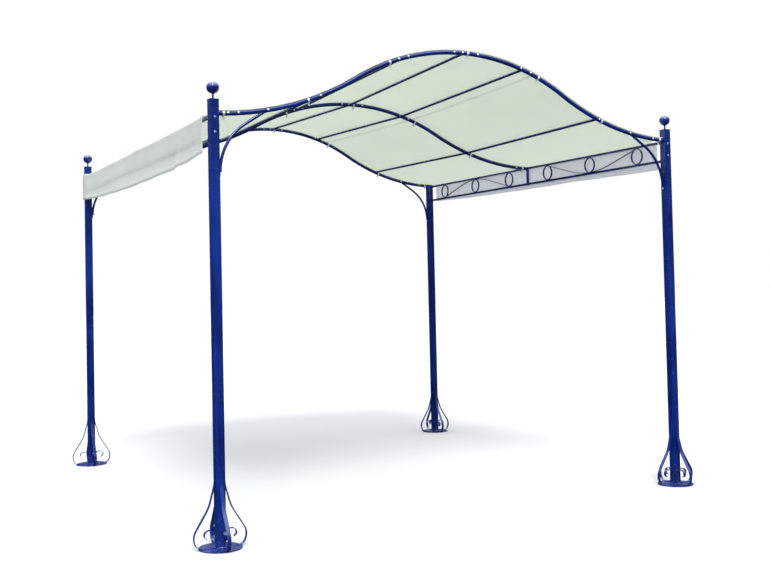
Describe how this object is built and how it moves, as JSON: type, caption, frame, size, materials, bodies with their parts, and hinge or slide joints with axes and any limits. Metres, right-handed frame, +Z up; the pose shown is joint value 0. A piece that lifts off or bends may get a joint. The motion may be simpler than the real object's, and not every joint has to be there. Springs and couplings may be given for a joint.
{
  "type": "garden gazebo",
  "caption": "Open square metal gazebo with a wave-shaped cloth roof, scrolled feet, ball finials and ring-patterned side rails.",
  "frame": {"origin": "middle of the footprint, on the ground", "axes": "+X to the right along the open front, +Y to the back, +Z up; the roof's wave runs along X and the purlins along Y"},
  "size_m": [3.2766, 3.2766, 2.6298],
  "materials": {
    "frame_paint": "glossy royal blue enamel on welded steel tube",
    "canopy_cloth": "matt ecru woven polyester, slightly translucent",
    "tie_cloth": "white woven tape",
    "fixings": "bright zinc plated bolts and nuts"
  },
  "bodies": {
    "root": {"back_left_base_plate": "frame_paint", "back_left_brace": "frame_paint", "back_left_finial": "frame_paint", "back_left_post": "frame_paint", "back_left_scrolls": "frame_paint", "back_rib_left": "frame_paint", "back_rib_right": "frame_paint", "back_right_base_plate": "frame_paint", "back_right_brace": "frame_paint", "back_right_finial": "frame_paint", "back_right_post": "frame_paint", "back_right_scrolls": "frame_paint", "canopy": "canopy_cloth", "front_left_base_plate": "frame_paint", "front_left_brace": "frame_paint", "front_left_finial": "frame_paint", "front_left_post": "frame_paint", "front_left_scrolls": "frame_paint", "front_rib_left": "frame_paint", "front_rib_right": "frame_paint", "front_right_base_plate": "frame_paint", "front_right_brace": "frame_paint", "front_right_finial": "frame_paint", "front_right_post": "frame_paint", "front_right_scrolls": "frame_paint", "left_back_panel": "frame_paint", "left_front_panel": "frame_paint", "left_high_purlin": "frame_paint", "left_low_purlin": "frame_paint", "left_panel_upright": "frame_paint", "left_valance": "canopy_cloth", "middle_rib_left": "frame_paint", "middle_rib_right": "frame_paint", "ridge_purlin": "frame_paint", "right_back_panel": "frame_paint", "right_front_panel": "frame_paint", "right_high_purlin": "frame_paint", "right_low_purlin": "frame_paint", "right_panel_upright": "frame_paint", "right_valance": "canopy_cloth"}
  },
  "joints": []
}
